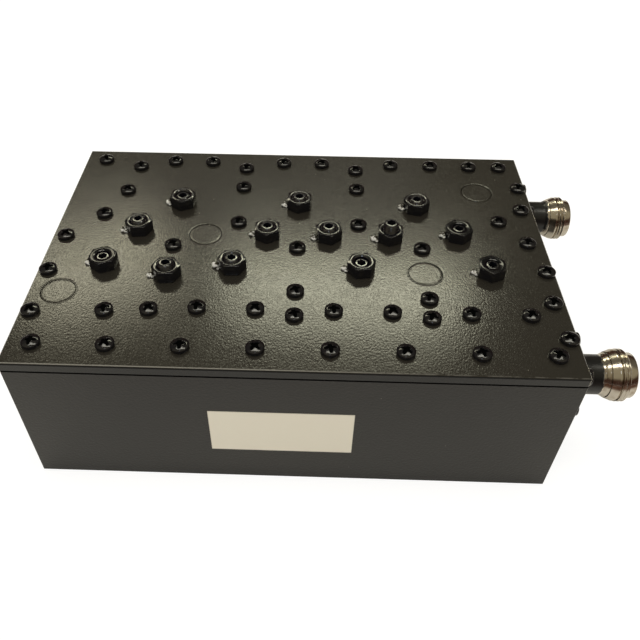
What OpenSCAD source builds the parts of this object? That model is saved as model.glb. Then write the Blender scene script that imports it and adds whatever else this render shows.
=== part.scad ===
// Seven-resonator cavity bandpass filter with two threaded coaxial jacks on its right side.
// Origin: centre of the underside. X runs left to right, Y front to back, Z up. Millimetres.

/* [Case] */
// Width of the case, left to right
case_w = 163; // [154:1:200]
// Depth of the case, front to back
case_d = 109; // [104:1:140]
// Height of the milled housing, without its cover
housing_h = 49.5; // [41:0.5:65]
// Thickness of the cover plate
cover_t = 3.5; // [2.5:0.25:5]
// Thickness of the housing floor under the chambers
floor_t = 8; // [7.5:0.5:12]
// Thickness of the left and right walls
side_wall = 6.5; // [5.8:0.1:9]
// Thickness of the front wall, which holds the input line
front_wall = 25.5; // [21.5:0.5:30.5]
// Thickness of the back wall
back_wall = 16; // [14:0.5:20]
// Radius left in the chamber corners by the milling cutter
cutter_r = 3; // [1.5:0.5:5]
// Small bevel along the outside edges
edge_bevel = 0.35; // [0.2:0.05:1]
// Bevel of the joint between cover and housing
joint_bevel = 0.25; // [0.1:0.05:0.4]

/* [Resonators] */
// Distance between neighbouring resonators in a row
res_pitch = 40.7; // [34:0.1:41.5]
// Distance between the front row and the back row
row_gap = 33.4; // [30:0.1:38]
// Distance of the front row from the inside of the front wall
front_row_in = 16.8; // [14:0.1:18.5]
// Outside radius of a resonator post
res_r = 6.5; // [5.5:0.1:8]
// Radius of the wider top of a resonator
res_hat_r = 8.6; // [7:0.1:9.5]
// Thickness of the wider top
res_hat_t = 2; // [1:0.5:4]
// Radius of the hole in the top of a resonator
res_bore_r = 4.2; // [3.8:0.1:5]
// Solid base left under that hole
res_base_t = 6; // [5:0.5:9]
// Gap between a resonator and the cover
res_gap = 5; // [4:0.5:10]
// Width of the walls between the chambers
finger_w = 6.4; // [5.6:0.1:9]

/* [Tuning] */
// Radius of the tuning and coupling screws
tune_r = 2.5; // [2:0.1:3]
// Length of a tuning screw
tune_len = 17; // [14:0.5:22]
// Length of a coupling screw
couple_len = 25; // [18:0.5:32]
// Width of a lock nut across its flats
nut_af = 8; // [7.4:0.1:9]
// Height of a lock nut
nut_h = 4; // [3:0.1:5]
// Width of the socket in a tuning screw across its flats
socket_af = 2.5; // [1.5:0.1:3]
// Radius of the round plugs in the cover
plug_r = 5.4; // [4.5:0.1:7]

/* [Cover screws] */
// Radius of a cover screw's shank
screw_r = 1.4; // [1:0.05:1.5]
// Radius of a cover screw's head
head_r = 2.75; // [2.4:0.05:3.1]
// Height of a cover screw's head
head_h = 2.2; // [1.5:0.1:2.8]
// Length of a cover screw under its head
screw_len = 6; // [5:0.5:6.5]

/* [Jacks] */
// Distance of each jack's axis from the nearer end wall
jack_in = 15.5; // [14:0.1:17]
// Depth of the jacks' axis below the top of the cover
jack_drop = 15.8; // [15:0.1:19]
// Side of the square flange
flange_w = 19.5; // [19.4:0.1:20.5]
// Thickness of the flange
flange_t = 2.7; // [1.6:0.1:3.4]
// Spacing of the flange screws
flange_pitch = 14.3; // [13.8:0.1:14.4]
// Radius of the neck behind the thread
neck_r = 6.05; // [5:0.05:6.3]
// Distance from the housing to the end of the jack
jack_len = 19.6; // [18.5:0.1:24]
// Outside radius of the coupling thread
thread_r = 7.94; // [7.8:0.01:8.1]
// Length of the coupling thread
thread_len = 2.95; // [2:0.05:8]
// Radius of the mouth
mouth_r = 4.04; // [4:0.01:4.2]
// Depth of the mouth down to the insulator
mouth_depth = 9.1; // [7:0.1:9.6]
// Radius of the centre contact in the mouth
contact_r = 1.52; // [1.3:0.01:1.6]

/* [Input line] */
// Radius of the bore through the right wall behind each jack
line_bore_r = 4; // [3.9:0.05:4.4]
// Radius of the wide discs on the line
disc_r = 3.2; // [2.7:0.05:3.8]
// Wall of the sleeve round the line
sleeve_t = 0.6; // [0.5:0.05:1]
// Number of discs on the line
disc_n = 7; // [3:2:9]
// Radius of the thin line between the discs, and of the tap wires
wire_r = 0.8; // [0.5:0.05:0.9]

/* [Label] */
// Width of the blank label
label_w = 43.2; // [30:0.1:60]
// Height of the blank label
label_h = 19.05; // [10:0.05:28]
// Thickness of the label
label_t = 0.15; // [0.1:0.05:0.4]

/* [Base] */
// Distance of the mounting holes from the case edges
mount_in = 8.5; // [7.5:0.5:10]
// Radius of the mounting holes
mount_r = 1.65; // [1.25:0.05:2.5]
// Depth of the mounting holes
mount_depth = 8; // [5:0.5:12]

/* [Hidden] */

$fn = 48;
// Clearance all round what fits into a hole
fit = 0.05;
// Overrun of a cut past the face that it opens
past = 1;

// Edges of the case
left = -case_w / 2;
right = case_w / 2;
front = -case_d / 2;
back = case_d / 2;
top_z = housing_h + cover_t;

// Inside of the chambers
chamber_front = front + front_wall;
chamber_back = back - back_wall;

// Resonator lattice: four in the front row, three behind them
front_row_y = chamber_front + front_row_in;
back_row_y = front_row_y + row_gap;
res_top_z = housing_h - res_gap;
RESONATORS = [
    [-1.5 * res_pitch, front_row_y], [-res_pitch, back_row_y], [-0.5 * res_pitch, front_row_y],
    [0, back_row_y], [0.5 * res_pitch, front_row_y], [1.5 * res_pitch, front_row_y], [res_pitch, back_row_y]];

// Coupling screws stand between the resonators that they couple
couple_y = front_row_y + row_gap / 2 - 0.2;
end_x = 1.25 * res_pitch + 2.4;
end_y = couple_y + 1.8;
COUPLINGS = [
    [-end_x, end_y], [0.3 - res_pitch, front_row_y - 4.2], [-0.25 * res_pitch, couple_y],
    [0.25 * res_pitch, couple_y], [0.75 * res_pitch, couple_y], [end_x, end_y]];

// Round plugs close the access holes over the input tap, two unused couplings and the output tap
PLUGS = [
    [left + 9.1, chamber_front + 3.9], [-0.75 * res_pitch - 0.35, couple_y + 0.1],
    [res_pitch, front_row_y - 0.7], [right - 18, back - 22.8]];

// How far each tuning and coupling screw stands above its nut
TUNE_OUT = [-0.5, -0.3, 0.3, 0.4, 0.7, -0.2, 0.2];
COUPLE_OUT = [0.7, 1.2, 0.4, 0.7, 2.6, 0.3];
// Turn of each lock nut about its axis, tuning nuts first
NUT_TURN = [24, 24, 2, 24, 8, 25, -14, 6, 5, -30, -16, 26, -18];

// Walls between the chambers, standing on from the front wall and the back wall
finger_tip_y = couple_y - 6.5;
back_tip_y = couple_y + 6.4;
FRONT_FINGERS = [-res_pitch, 0, res_pitch];
BACK_FINGERS = [-0.5 * res_pitch, 0.5 * res_pitch];
// Windows in the two outer front walls let the resonators beside them couple
window_sill = 20;
window_from = [chamber_front + 3, chamber_front + 7.2];
window_to = [finger_tip_y - 4.8, finger_tip_y - 4.6];

// Blocks that close the corners of the chambers
left_block_y = finger_tip_y + 12.6;
left_block_w = 12;
left_block_lean = 6.5;
stub_len = 10;
stub_y = back_tip_y + 3.4;
stub_x = right - side_wall - stub_len + finger_w / 2;
boss_r = 4;

// Cover screws: rows along the front and the back, then those over the walls between the chambers
row_in = 7.7;
back_row_in = 6.8;
row_first = 7.5;
row_count = 8;
side_in = 3.4;
wall_in = 2.1;
wall_side = 8.7;
root_in = 4.4;
back_root_in = 10.8;
back_mid_in = 23;
cover_hole_r = screw_r + 0.3;
tap_depth = screw_len - cover_t + 0.6;
FRONT_ROW = [for (i = [0 : row_count - 1])
    [left + row_first + i * (case_w - 2 * row_first) / (row_count - 1), front + row_in]];
BACK_ROW_X = [left + row_first, -1.17 * res_pitch, -0.82 * res_pitch, -0.16 * res_pitch, 0.19 * res_pitch,
    0.825 * res_pitch, 1.19 * res_pitch, 1.545 * res_pitch, right - row_first];
BACK_ROW = [for (x = BACK_ROW_X) [x, back - back_row_in]];
WALL_ROW = [for (i = [2, 4, 5], side = [-1, 1])
    [RESONATORS[i][0] + side * wall_side, chamber_front - wall_in]];
root_y = chamber_front - root_in;
WALL_EXTRA = [[-1.385 * res_pitch, root_y + 0.3], [-1.062 * res_pitch, root_y + 1.1], [0, root_y],
    [res_pitch - 0.2, root_y + 0.2], [0, root_y + 10.4], [res_pitch - 0.1, root_y + 8.4]];
last_tip_out = 0.9;
TIPS = concat([for (x = FRONT_FINGERS) [x, finger_tip_y + (x > res_pitch / 2 ? last_tip_out : 0)]],
    [for (x = BACK_FINGERS) [x, back_tip_y]],
    [for (x = BACK_FINGERS) [x, back - back_mid_in]], [for (x = BACK_FINGERS) [x, back - back_root_in]]);
LEFT_BLOCK_SCREWS = [[left + side_wall + 8, left_block_y + 3.6],
    [left + side_wall + 13.2, (left_block_y + 3.6 + back - back_root_in) / 2 - 0.7],
    [left + side_wall + 15, back - back_root_in]];
LEFT_SIDE = [[left + side_in, front + 20.5], [left + side_in, front + 38.9],
    [left + side_in + 1, front + 56.2]];
RIGHT_SIDE = [[right - 2.8, front + 14.3], [right - 4, front + 29], [right - 2.8, front + 43.1],
    [right - 5.8, front + 57.3], [right - 4.4, back - 33.5], [right - 2.8, back - 20.2]];
STUB_SCREW = [[stub_x, stub_y]];
COVER_SCREWS = concat(FRONT_ROW, BACK_ROW, WALL_ROW, WALL_EXTRA, TIPS, LEFT_BLOCK_SCREWS, LEFT_SIDE,
    RIGHT_SIDE, STUB_SCREW);

// Jacks
jack_z = top_z - jack_drop;
FRONT_JACK = [right, front + jack_in, jack_z];
BACK_JACK = [right, back - jack_in, jack_z];
corner_r = 1.2;
insulator_r = 3.4;
line_fit = 0.1;
spigot_r = line_bore_r - line_fit;
pin_r = 0.9;
tip_len = 1.8;
thread_end = jack_len - tip_len;
thread_start = thread_end - thread_len;
contact_back = side_wall + 1;
contact_tip = 4.8;
flange_screw_r = 1.4;
flange_head_r = 2.5;
flange_head_h = 2.3;
flange_screw_len = 7;
flange_lug_r = flange_head_r + fit;
flange_tap_depth = flange_screw_len - flange_t + 0.5;

// Outline of a jack behind its thread: [back from the thread, in from the thread's outside]
COLLAR = [[1.75, 0.94], [1.55, 0.89], [1.45, 1.09], [1.25, 1.09], [1.1, 0.49], [0.95, 0.24], [0.35, 0.19],
    [0.3, 0.64], [0.1, 0.64]];
neck_end = thread_start - 3.2;
tip_r = thread_r - 1.09;

// Input line and taps
sleeve_in_r = disc_r + line_fit;
sleeve_r = sleeve_in_r + sleeve_t;
sleeve_bore_r = sleeve_r + line_fit;
line_left = left + 12;
pocket_w = 7.3;
pocket_from = front + jack_in - sleeve_bore_r - 0.3;
pocket_floor = jack_z - 6;
pocket_r = 2;
line_len = right - contact_back - line_left;
disc_step = line_len / (disc_n + 0.6);
sleeve_left = left + 14.6;
tap_corner_x = left + side_wall + 3.4;
out_pocket_w = 22;
out_pocket_floor = jack_z - 8;

// Label
label_x = -3.1;
label_z = top_z - 28.4;

// Resonator fixing screws
fix_r = 1.95;
fix_head_r = 3.5;
fix_head_h = 4;
fix_len = 12;
fix_socket_r = 1.7;
fix_tap_z = floor_t + res_base_t - fix_len - 0.5;

// Moves its children to each place in a list of [x, y]
module at_each(places, z) {
    for (p = places) translate([p[0], p[1], z]) children();
}

// Lays its children's Z axis along the case's X axis, at a jack
module at_jack(place) {
    translate(place) rotate([0, 90, 0]) children();
}

// Four places in a square of the given side
module four_corners(side_a, side_b) {
    for (a = [-1, 1], b = [-1, 1]) translate([a * side_a / 2, b * side_b / 2, 0]) children();
}

// Prism that bevels one straight edge of length len along X
module edge_cut(len, bevel) {
    rotate([45, 0, 0]) cube([len, bevel * sqrt(2), bevel * sqrt(2)], center = true);
}

// Bevels the four upper edges of a plate w by d whose top is at z
module top_edges(w, d, z, bevel) {
    for (s = [-1, 1]) {
        translate([0, s * d / 2, z]) edge_cut(w + 2 * past, bevel);
        translate([s * w / 2, 0, z]) rotate([0, 0, 90]) edge_cut(d + 2 * past, bevel);
    }
}

// Bevels the four upright edges of a block w by d
module upright_edges(w, d, z0, z1, bevel) {
    for (a = [-1, 1], b = [-1, 1]) translate([a * w / 2, b * d / 2, (z0 + z1) / 2])
        rotate([0, 90, 0]) edge_cut(z1 - z0 + 2 * past, bevel);
}

// Box with its four upright corners rounded by the cutter
module milled_pocket(x0, y0, x1, y1, z0, z1, r) {
    translate([x0 + r, y0, z0]) cube([x1 - x0 - 2 * r, y1 - y0, z1 - z0]);
    translate([x0, y0 + r, z0]) cube([x1 - x0, y1 - y0 - 2 * r, z1 - z0]);
    for (x = [x0 + r, x1 - r], y = [y0 + r, y1 - r]) translate([x, y, z0]) cylinder(r = r, h = z1 - z0);
}

// Wall from y0 to a rounded tip at y1, standing on the floor
module finger(x, y0, y1) {
    low = min(y0, y1);
    rise = housing_h - floor_t + past;
    translate([x - finger_w / 2, low, floor_t - past]) cube([finger_w, abs(y1 - y0), rise]);
    translate([x, y1, floor_t - past]) cylinder(d = finger_w, h = rise);
}

// What stays standing inside the milled chambers
module chamber_walls() {
    rise = housing_h - floor_t + past;
    for (x = FRONT_FINGERS) finger(x, chamber_front - past, finger_tip_y);
    for (x = BACK_FINGERS) finger(x, chamber_back + past, back_tip_y);
    translate([0, 0, floor_t - past]) {
        linear_extrude(height = rise) polygon([
            [left + side_wall - past, left_block_y - 2],
            [left + side_wall + left_block_w, left_block_y],
            [left + side_wall + left_block_w + left_block_lean, chamber_back + past],
            [left + side_wall - past, chamber_back + past]]);
        translate([stub_x, stub_y - finger_w / 2, 0]) cube([stub_len, finger_w, rise]);
        translate([stub_x, stub_y, 0]) cylinder(d = finger_w, h = rise);
        translate([RIGHT_SIDE[3][0], RIGHT_SIDE[3][1], 0]) cylinder(r = boss_r, h = rise);
    }
}

module housing() {
    color("#2c3033") difference() {
        union() {
            difference() {
                translate([left, front, 0]) cube([case_w, case_d, housing_h]);
                milled_pocket(left + side_wall, chamber_front, right - side_wall, chamber_back,
                    floor_t, housing_h + past, cutter_r);
            }
            chamber_walls();
        }
        // Coupling windows in the outer two front walls
        for (i = [0, 1]) translate([FRONT_FINGERS[2 * i] - finger_w, window_from[i], window_sill])
            cube([2 * finger_w, window_to[i] - window_from[i], housing_h]);
        // Drilled bore of the input line, and the pocket where it meets the first chamber
        translate([left + side_wall, FRONT_JACK[1], jack_z]) rotate([0, 90, 0])
            cylinder(r = sleeve_bore_r, h = case_w - 2 * side_wall);
        milled_pocket(left + side_wall, pocket_from, left + side_wall + pocket_w,
            chamber_front + 2 * cutter_r, pocket_floor, housing_h + past, pocket_r);
        // Pocket that joins the last chamber to the output bore
        milled_pocket(right - side_wall - out_pocket_w, chamber_back - 2 * cutter_r, right - side_wall,
            BACK_JACK[1] + line_bore_r + 0.4, out_pocket_floor, housing_h + past, cutter_r);
        // Bores through the right wall, and the flange screws' tapped holes
        for (place = [FRONT_JACK, BACK_JACK]) at_jack(place) {
            translate([0, 0, -side_wall - past]) cylinder(r = line_bore_r, h = side_wall + 2 * past);
            four_corners(flange_pitch, flange_pitch) translate([0, 0, -flange_tap_depth])
                cylinder(r = flange_screw_r + fit, h = flange_tap_depth + past);
        }
        at_each(COVER_SCREWS, housing_h - tap_depth)
            cylinder(r = screw_r + fit, h = tap_depth + past, $fn = 24);
        at_each(RESONATORS, fix_tap_z) cylinder(r = fix_r + fit, h = fix_len, $fn = 24);
        translate([0, 0, -past]) four_corners(case_w - 2 * mount_in, case_d - 2 * mount_in)
            cylinder(r = mount_r, h = mount_depth + past);
        upright_edges(case_w, case_d, 0, housing_h, edge_bevel);
        translate([0, 0, housing_h]) mirror([0, 0, 1]) top_edges(case_w, case_d, housing_h, edge_bevel);
        top_edges(case_w, case_d, housing_h, joint_bevel);
    }
}

module cover() {
    color("#3a3a30") difference() {
        translate([left, front, housing_h]) cube([case_w, case_d, cover_t]);
        translate([0, 0, -past]) {
            at_each(COVER_SCREWS, housing_h) cylinder(r = cover_hole_r, h = cover_t + 2 * past, $fn = 24);
            at_each(RESONATORS, housing_h) cylinder(r = tune_r + fit, h = cover_t + 2 * past);
            at_each(COUPLINGS, housing_h) cylinder(r = tune_r + fit, h = cover_t + 2 * past);
            at_each(PLUGS, housing_h) cylinder(r = plug_r + fit, h = cover_t + 2 * past);
        }
        upright_edges(case_w, case_d, housing_h, top_z, edge_bevel);
        top_edges(case_w, case_d, top_z, edge_bevel);
        top_edges(case_w, case_d, housing_h, joint_bevel);
    }
}

// Pan head screw with a cross recess; its seat is at z = 0 and its shank hangs below
module pan_screw(shank_r, hd_r, hd_h, len, turn) {
    recess_w = hd_r * 0.3;
    recess_l = hd_r * 1.1;
    recess_h = hd_h * 0.6;
    dome = hd_h * 0.45;
    end_bevel = 0.2;
    difference() {
        rotate_extrude($fn = 32) polygon(concat(
            [[0, -len], [shank_r - end_bevel, -len], [shank_r, end_bevel - len], [shank_r, 0], [hd_r, 0],
                [hd_r, hd_h - dome]],
            [for (a = [15 : 15 : 75]) [hd_r - dome * 1.2 * (1 - cos(a)), hd_h - dome + dome * sin(a)]],
            [[0, hd_h]]));
        for (t = [turn, turn + 90]) translate([0, 0, hd_h - recess_h / 2 + past / 2]) rotate([0, 0, t])
            cube([recess_l, recess_w, recess_h + past], center = true);
    }
}

module cover_screws() {
    color("#141414") for (i = [0 : len(COVER_SCREWS) - 1])
        translate([COVER_SCREWS[i][0], COVER_SCREWS[i][1], top_z])
            pan_screw(screw_r, head_r, head_h, screw_len, (i * 37) % 90);
}

module cover_plugs() {
    groove = 0.25;
    color("#3a3a30") for (p = PLUGS) translate([p[0], p[1], housing_h]) rotate_extrude()
        polygon([[0, 0], [plug_r, 0], [plug_r, cover_t - groove], [plug_r - groove, cover_t], [0, cover_t]]);
}

// Turned post with a wider top and a hole for the tuning screw
module resonator(i) {
    h = res_top_z - floor_t;
    hole_r = fix_r + 0.2;
    color("#b9bcc0") translate([RESONATORS[i][0], RESONATORS[i][1], floor_t]) rotate_extrude() polygon([
        [hole_r, 0], [res_r, 0], [res_r, h - res_hat_t], [res_hat_r, h - res_hat_t], [res_hat_r, h],
        [res_bore_r, h], [res_bore_r, res_base_t], [hole_r, res_base_t]]);
}

// Socket head screw that holds each resonator to the floor
module resonator_screws() {
    color("#8b8d90") at_each(RESONATORS, floor_t + res_base_t) difference() {
        union() {
            cylinder(r = fix_head_r, h = fix_head_h);
            translate([0, 0, -fix_len + 0.3]) cylinder(r = fix_r, h = fix_len);
        }
        translate([0, 0, fix_head_h / 2]) cylinder(r = fix_socket_r, h = fix_head_h, $fn = 6);
    }
}

// Set screw with a hexagon socket; its top is at z = 0
module set_screw(len) {
    chamfer = 0.45;
    socket_depth = 2.6;
    difference() {
        rotate_extrude() polygon([[0, -len], [tune_r - chamfer, -len], [tune_r, chamfer - len],
            [tune_r, -chamfer], [tune_r - chamfer, 0], [0, 0]]);
        translate([0, 0, -socket_depth]) cylinder(r = socket_af / sqrt(3), h = socket_depth + past, $fn = 6);
    }
}

module tuning_screw(i) {
    color("#17181a") translate([RESONATORS[i][0], RESONATORS[i][1], top_z + nut_h + TUNE_OUT[i]])
        set_screw(tune_len);
}

module coupling_screw(i) {
    color("#17181a") translate([COUPLINGS[i][0], COUPLINGS[i][1], top_z + nut_h + COUPLE_OUT[i]])
        set_screw(couple_len);
}

// Hexagon nut with bevelled corners, seated at z = 0
module lock_nut(turn) {
    corner = nut_af / sqrt(3);
    face_r = nut_af / 2 * 0.95;
    bevel = 0.45;
    rotate([0, 0, turn]) difference() {
        intersection() {
            cylinder(r = corner, h = nut_h, $fn = 6);
            rotate_extrude() polygon([[0, 0], [face_r, 0], [corner, bevel], [corner, nut_h - bevel],
                [face_r, nut_h], [0, nut_h]]);
        }
        translate([0, 0, -past]) cylinder(r = tune_r + fit, h = nut_h + 2 * past);
    }
}

module lock_nuts() {
    places = concat(RESONATORS, COUPLINGS);
    color("#141516") for (i = [0 : len(places) - 1]) translate([places[i][0], places[i][1], top_z])
        lock_nut(NUT_TURN[i]);
}

// Small dab of clear glue at the left foot of each nut
module glue_dabs() {
    places = concat(RESONATORS, COUPLINGS);
    dab_r = 1.6;
    dab_out = nut_af / 2 + 0.6;
    color("#d9d6c8") for (i = [0 : len(places) - 1]) translate([places[i][0], places[i][1], top_z])
        difference() {
            rotate([0, 0, 185]) translate([dab_out, 0, 0]) sphere(r = dab_r, $fn = 24);
            translate([-2 * nut_af, -nut_af, -nut_af]) cube([4 * nut_af, 2 * nut_af, nut_af]);
            rotate([0, 0, NUT_TURN[i]]) translate([0, 0, -past])
                cylinder(r = nut_af / sqrt(3), h = nut_h, $fn = 6);
        }
}

// Flange with rounded corners, neck, stepped collar, thread and plain end ring. Each flange screw has
// a round lug, which stands clear of the flange where the screws are set wide
module jack_body() {
    half = flange_w / 2;
    end_bevel = 0.3;
    difference() {
        union() {
            milled_pocket(-half, -half, half, half, 0, flange_t, corner_r);
            four_corners(flange_pitch, flange_pitch) cylinder(r = flange_lug_r, h = flange_t);
            rotate_extrude($fn = 96) polygon(concat([[0, past], [neck_r, past], [neck_r, neck_end]],
                [for (c = COLLAR) [thread_r - c[1], thread_start - c[0]]],
                [[thread_r, thread_start], [thread_r, thread_end], [tip_r, thread_end],
                    [tip_r, jack_len - end_bevel], [tip_r - end_bevel, jack_len], [0, jack_len]]));
        }
        translate([0, 0, -past]) cylinder(r = insulator_r + fit, h = jack_len);
        translate([0, 0, jack_len - mouth_depth]) cylinder(r = mouth_r, h = mouth_depth + past);
        translate([0, 0, -past]) four_corners(flange_pitch, flange_pitch)
            cylinder(r = flange_screw_r + 0.15, h = flange_t + 2 * past, $fn = 24);
    }
}

// Turned insulator: a long barrel in the jack and a short spigot in the housing
module jack_insulator() {
    length = jack_len - mouth_depth;
    difference() {
        union() {
            cylinder(r = insulator_r, h = length);
            translate([0, 0, -side_wall]) cylinder(r = spigot_r, h = side_wall);
        }
        translate([0, 0, -side_wall - past]) cylinder(r = pin_r + fit, h = length + side_wall + 2 * past);
    }
}

// Centre contact: a thin pin through the insulator and a slotted socket in the mouth
module jack_contact() {
    seat = jack_len - mouth_depth;
    tip = jack_len - contact_tip;
    slot_w = 0.3;
    slot_z = seat + 1.2;
    bore_z = seat + 0.6;
    end_bevel = 0.3;
    difference() {
        rotate_extrude() polygon([[0, -contact_back], [pin_r, -contact_back], [pin_r, seat],
            [contact_r, seat], [contact_r, tip - end_bevel], [contact_r - end_bevel, tip], [0, tip]]);
        translate([0, 0, bore_z]) cylinder(r = pin_r, h = tip);
        for (t = [0, 90]) rotate([0, 0, t]) translate([-contact_r - past, -slot_w / 2, slot_z])
            cube([2 * contact_r + 2 * past, slot_w, tip]);
    }
}

module jack_screws() {
    recess_turn = 30;
    four_corners(flange_pitch, flange_pitch) translate([0, 0, flange_t])
        pan_screw(flange_screw_r, flange_head_r, flange_head_h, flange_screw_len, recess_turn);
}

module front_jack_body() { color("#b8b6ae") at_jack(FRONT_JACK) jack_body(); }
module front_jack_insulator() { color("#f2f1ec") at_jack(FRONT_JACK) jack_insulator(); }
module front_jack_contact() { color("#c9a24a") at_jack(FRONT_JACK) jack_contact(); }
module front_jack_screws() { color("#141414") at_jack(FRONT_JACK) jack_screws(); }
module back_jack_body() { color("#b8b6ae") at_jack(BACK_JACK) jack_body(); }
module back_jack_insulator() { color("#f2f1ec") at_jack(BACK_JACK) jack_insulator(); }
module back_jack_contact() { color("#c9a24a") at_jack(BACK_JACK) jack_contact(); }
module back_jack_screws() { color("#141414") at_jack(BACK_JACK) jack_screws(); }

// Stepped line of thin rod and wide discs, which also keeps out the higher bands
module input_line() {
    mid = (disc_n - 1) / 2;
    color("#c8ccd0") translate([line_left, FRONT_JACK[1], jack_z]) rotate([0, 90, 0]) {
        cylinder(r = wire_r, h = line_len);
        for (i = [0 : disc_n - 1]) {
            disc_len = disc_step * (0.62 - 0.08 * abs(i - mid) / mid);
            translate([0, 0, (i + 0.8) * disc_step - disc_len / 2]) cylinder(r = disc_r, h = disc_len);
        }
    }
}

module line_sleeve() {
    length = right - side_wall - fit - sleeve_left;
    color("#f4f3ee") translate([sleeve_left, FRONT_JACK[1], jack_z]) rotate([0, 90, 0]) difference() {
        cylinder(r = sleeve_r, h = length);
        translate([0, 0, -past]) cylinder(r = sleeve_in_r, h = length + 2 * past);
    }
}

// Round wire through a list of points, with ball corners
module bent_wire(points) {
    for (i = [0 : len(points) - 2]) {
        span = points[i + 1] - points[i];
        length = norm(span);
        translate(points[i]) rotate([0, acos(span[2] / length), atan2(span[1], span[0])])
            cylinder(r = wire_r, h = length, $fn = 24);
        if (i > 0) translate(points[i]) sphere(r = wire_r, $fn = 24);
    }
}

// Wire from the end of the input line to the first resonator
module input_tap() {
    color("#c8ccd0") difference() {
        bent_wire([[line_left, FRONT_JACK[1], jack_z], [tap_corner_x, FRONT_JACK[1], jack_z],
            [tap_corner_x, front_row_y, jack_z], [RESONATORS[0][0], front_row_y, jack_z]]);
        translate([RESONATORS[0][0], RESONATORS[0][1], floor_t]) cylinder(r = res_r, h = housing_h);
    }
}

// Straight wire from the back jack's contact to the last resonator
module output_tap() {
    from = [right - contact_back, BACK_JACK[1], jack_z];
    span = [RESONATORS[6][0], RESONATORS[6][1], jack_z] - from;
    spare = 2 * wire_r;
    color("#c8ccd0") difference() {
        translate(from) rotate([0, 90, atan2(span[1], span[0])]) translate([0, 0, -spare])
            cylinder(r = wire_r, h = norm(span) + spare);
        translate([from[0], from[1] - 2 * spare, jack_z - 2 * spare]) cube(4 * spare);
        translate([RESONATORS[6][0], RESONATORS[6][1], floor_t]) cylinder(r = res_r, h = housing_h);
    }
}

module front_label() {
    color("#e6e2d6") translate([label_x - label_w / 2, front - label_t, label_z - label_h / 2])
        cube([label_w, label_t, label_h]);
}

housing();
cover();
cover_screws();
cover_plugs();
resonator(0);  // resonator_1
resonator(1);  // resonator_2
resonator(2);  // resonator_3
resonator(3);  // resonator_4
resonator(4);  // resonator_5
resonator(5);  // resonator_6
resonator(6);  // resonator_7
resonator_screws();
tuning_screw(0);  // tuning_screw_1
tuning_screw(1);  // tuning_screw_2
tuning_screw(2);  // tuning_screw_3
tuning_screw(3);  // tuning_screw_4
tuning_screw(4);  // tuning_screw_5
tuning_screw(5);  // tuning_screw_6
tuning_screw(6);  // tuning_screw_7
coupling_screw(0);  // coupling_screw_1
coupling_screw(1);  // coupling_screw_2
coupling_screw(2);  // coupling_screw_3
coupling_screw(3);  // coupling_screw_4
coupling_screw(4);  // coupling_screw_5
coupling_screw(5);  // coupling_screw_6
lock_nuts();
glue_dabs();
front_jack_body();
front_jack_insulator();
front_jack_contact();
front_jack_screws();
back_jack_body();
back_jack_insulator();
back_jack_contact();
back_jack_screws();
input_line();
line_sleeve();
input_tap();
output_tap();
front_label();
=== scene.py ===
import math

import bmesh
import bpy
import numpy as np
from mathutils import Matrix, Vector


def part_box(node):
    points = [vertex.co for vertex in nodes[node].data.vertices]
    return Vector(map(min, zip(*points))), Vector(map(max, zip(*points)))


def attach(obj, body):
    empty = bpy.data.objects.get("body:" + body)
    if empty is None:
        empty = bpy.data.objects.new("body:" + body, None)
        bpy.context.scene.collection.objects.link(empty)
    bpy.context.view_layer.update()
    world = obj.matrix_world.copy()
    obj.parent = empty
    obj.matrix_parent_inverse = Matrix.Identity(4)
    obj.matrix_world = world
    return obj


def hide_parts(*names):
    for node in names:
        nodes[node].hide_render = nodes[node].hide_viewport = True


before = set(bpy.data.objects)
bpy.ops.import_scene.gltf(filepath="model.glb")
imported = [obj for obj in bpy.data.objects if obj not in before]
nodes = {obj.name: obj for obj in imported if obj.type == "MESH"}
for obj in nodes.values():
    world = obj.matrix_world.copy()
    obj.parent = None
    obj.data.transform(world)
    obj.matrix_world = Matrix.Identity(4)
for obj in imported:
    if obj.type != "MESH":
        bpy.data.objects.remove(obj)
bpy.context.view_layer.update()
mm = 0.001
turn = 2 * math.pi
goldenAngle = 2.399
print("frame loaded:", len(nodes), "nodes")

# The case, read from the frame
caseLow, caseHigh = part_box("housing")
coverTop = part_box("cover")[1].z
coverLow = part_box("cover")[0].z
jackSide = caseHigh.x
jackZ = (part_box("front_jack_body")[0].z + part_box("front_jack_body")[1].z) / 2


# Separate solids of a CAD node: each one's points, found by joining vertices at one place
def solidsOf(node):
    work = bmesh.new()
    work.from_mesh(nodes[node].data)
    bmesh.ops.remove_doubles(work, verts=work.verts, dist=1e-6)
    found, seen = [], set()
    for start in work.verts:
        if start in seen:
            continue
        group, queue = [], [start]
        seen.add(start)
        while queue:
            vertex = queue.pop()
            group.append(vertex.co[:])
            fresh = [e.other_vert(vertex) for e in vertex.link_edges if e.other_vert(vertex) not in seen]
            seen.update(fresh)
            queue += fresh
        found.append(np.array(group))
    work.free()
    return found


# Middle and half width of a solid, in millimetres
def middle(solid):
    low, high = solid.min(0) / mm, solid.max(0) / mm
    return (low + high) / 2, (high - low) / 2


plugs = [(centre, half[0]) for centre, half in map(middle, solidsOf("cover_plugs"))]


# Camera: at the photograph's place, in millimetres and degrees, with its lens centre off the middle
cameraSet = dict(place=(4.27, -175.9, 196.3), turned=(45.799, -0.2317, 1.861),
                 lens=38.62, sensor=36.0, shift=(0.0392, -0.0234))


def makeCamera(s):
    scene = bpy.context.scene
    data = bpy.data.cameras.new("camera")
    data.lens, data.sensor_width = s["lens"], s["sensor"]
    data.shift_x, data.shift_y = s["shift"]
    data.clip_start, data.clip_end = 0.01, 20
    camera = bpy.data.objects.new("camera", data)
    scene.collection.objects.link(camera)
    camera.location = Vector(s["place"]) * mm
    camera.rotation_euler = [math.radians(angle) for angle in s["turned"]]
    scene.camera = camera
    scene.view_settings.view_transform = "Standard"


makeCamera(cameraSet)
print("camera placed")


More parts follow.
